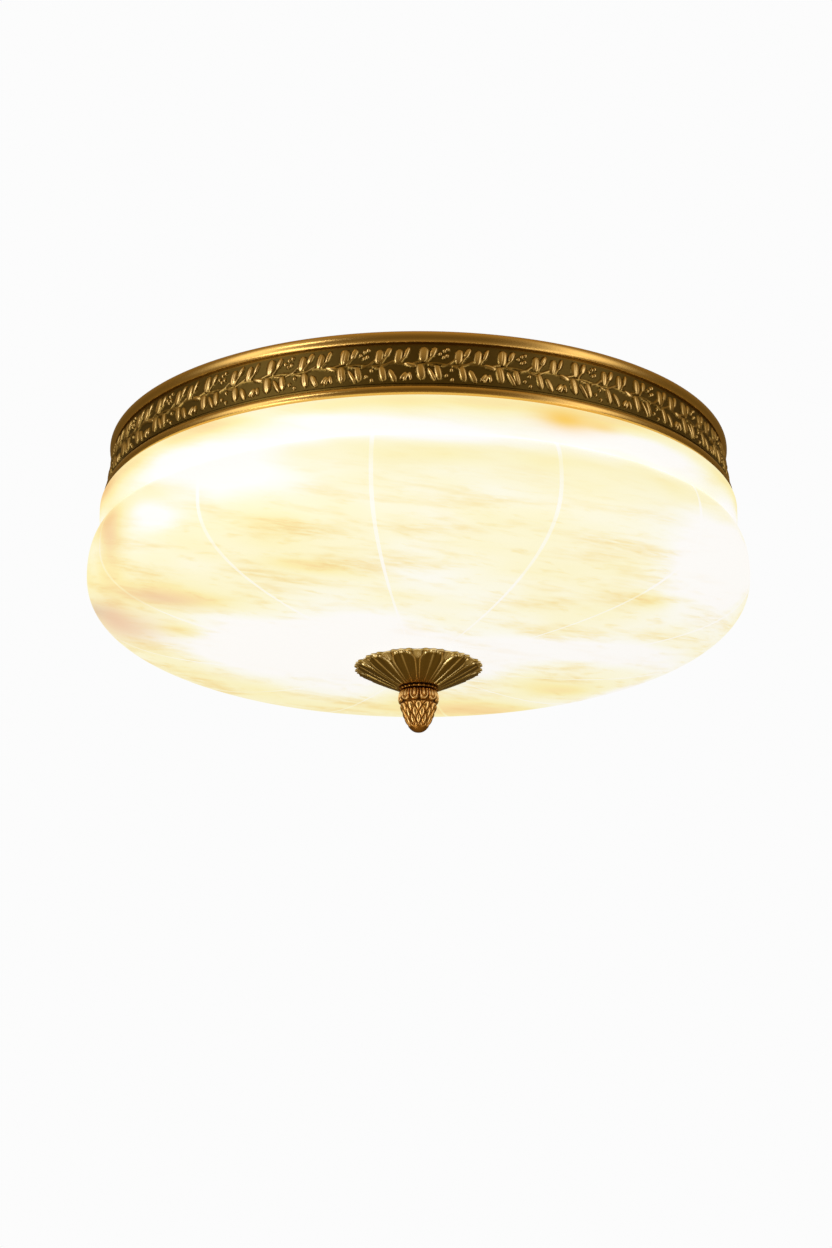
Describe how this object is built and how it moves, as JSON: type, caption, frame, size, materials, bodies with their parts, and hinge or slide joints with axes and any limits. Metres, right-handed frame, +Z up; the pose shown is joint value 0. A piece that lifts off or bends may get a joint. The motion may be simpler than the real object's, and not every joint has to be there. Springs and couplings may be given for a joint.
{
  "type": "flush ceiling light",
  "caption": "Flush-mounted ceiling light with a translucent alabaster bowl under an embossed brass band, held by a brass rosette and pine cone finial.",
  "frame": {"origin": "centre of the light on the ceiling plane, midway between the strap's two screw slots", "axes": "+Z up into the ceiling, along the rod; +X along the mounting strap; -Y towards the side that the picture shows"},
  "size_m": [0.5, 0.5, 0.2201],
  "materials": {
    "zinc_steel": "zinc plated, satin",
    "pan_enamel": "baked white enamel, slightly textured",
    "antique_brass": "antique bronze brass, dark in the recesses, polished on the beads",
    "rosette_brass": "dark olive antique brass with rubbed pale edges",
    "finial_brass": "copper gold, red-brown in the recesses",
    "plain_brass": "bright, machined",
    "black_rubber": "matte moulded",
    "gasket_silicone": "soft translucent silicone",
    "terminal_nylon": "moulded nylon",
    "porcelain": "white glaze",
    "lead_sleeve": "woven glass-fibre sleeve",
    "alabaster": "polished, translucent, clouded cream and honey, lit from inside",
    "seam_resin": "clear pale resin, polished flush",
    "felt": "pressed wool felt",
    "lamp_cap_metal": "nickelled screw thread",
    "lamp_neck_plastic": "white",
    "lamp_globe": "opal, lit"
  },
  "bodies": {
    "fixture": {"mounting_strap": "zinc_steel", "strap_studs": "zinc_steel", "stud_spacers": "zinc_steel", "stud_nuts": "zinc_steel", "ceiling_pan": "pan_enamel", "cable_grommet": "black_rubber", "rim_gasket": "gasket_silicone", "embossed_band": "antique_brass", "band_screws": "zinc_steel", "center_rod": "zinc_steel", "rod_washers": "zinc_steel", "rod_nuts": "zinc_steel", "terminal_block": "terminal_nylon", "terminal_screws": "plain_brass", "earth_screw": "plain_brass", "lamp_brackets": "pan_enamel", "bracket_screws": "zinc_steel", "lamp_holders": "porcelain", "holder_screws": "zinc_steel", "holder_contacts": "plain_brass", "lamp_leads": "lead_sleeve"},
    "bowl": {"alabaster_collar": "alabaster", "gore_01": "alabaster", "gore_02": "alabaster", "gore_03": "alabaster", "gore_04": "alabaster", "gore_05": "alabaster", "gore_06": "alabaster", "gore_07": "alabaster", "gore_08": "alabaster", "gore_09": "alabaster", "gore_10": "alabaster", "gore_11": "alabaster", "gore_12": "alabaster", "seam_resin": "seam_resin", "rubber_washer": "black_rubber", "backing_plate": "zinc_steel"},
    "rosette": {"rosette": "rosette_brass", "felt_ring": "felt"},
    "finial": {"pine_cone_finial": "finial_brass"},
    "lamp_1": {"lamp_1_cap": "lamp_cap_metal", "lamp_1_neck": "lamp_neck_plastic", "lamp_1_globe": "lamp_globe"},
    "lamp_2": {"lamp_2_cap": "lamp_cap_metal", "lamp_2_neck": "lamp_neck_plastic", "lamp_2_globe": "lamp_globe"},
    "lamp_3": {"lamp_3_cap": "lamp_cap_metal", "lamp_3_neck": "lamp_neck_plastic", "lamp_3_globe": "lamp_globe"},
    "lamp_4": {"lamp_4_cap": "lamp_cap_metal", "lamp_4_neck": "lamp_neck_plastic", "lamp_4_globe": "lamp_globe"}
  },
  "joints": [
    {"name": "bowl_lower", "type": "slide", "parent": "fixture", "child": "bowl", "axis": [0, 0, -1], "range_m": [0, 0.2]},
    {"name": "rosette_drop", "type": "slide", "parent": "bowl", "child": "rosette", "axis": [0, 0, -1], "range_m": [0, 0.015]},
    {"name": "finial_unscrew", "type": "hinge", "parent": "rosette", "child": "finial", "pos_m": [0, 0, -0.195], "axis": [0, 0, -1], "range_deg": [0, 3600.01]},
    {"name": "lamp_1_out", "type": "slide", "parent": "fixture", "child": "lamp_1", "axis": [0.7071, 0.7071, 0], "range_m": [0, 0.028]},
    {"name": "lamp_2_out", "type": "slide", "parent": "fixture", "child": "lamp_2", "axis": [-0.7071, 0.7071, 0], "range_m": [0, 0.028]},
    {"name": "lamp_3_out", "type": "slide", "parent": "fixture", "child": "lamp_3", "axis": [-0.7071, -0.7071, 0], "range_m": [0, 0.028]},
    {"name": "lamp_4_out", "type": "slide", "parent": "fixture", "child": "lamp_4", "axis": [0.7071, -0.7071, 0], "range_m": [0, 0.028]}
  ],
  "couplings": [
    {"joint": "finial_unscrew", "follows": "rosette_drop", "rad_per_m": 4188.8}
  ]
}
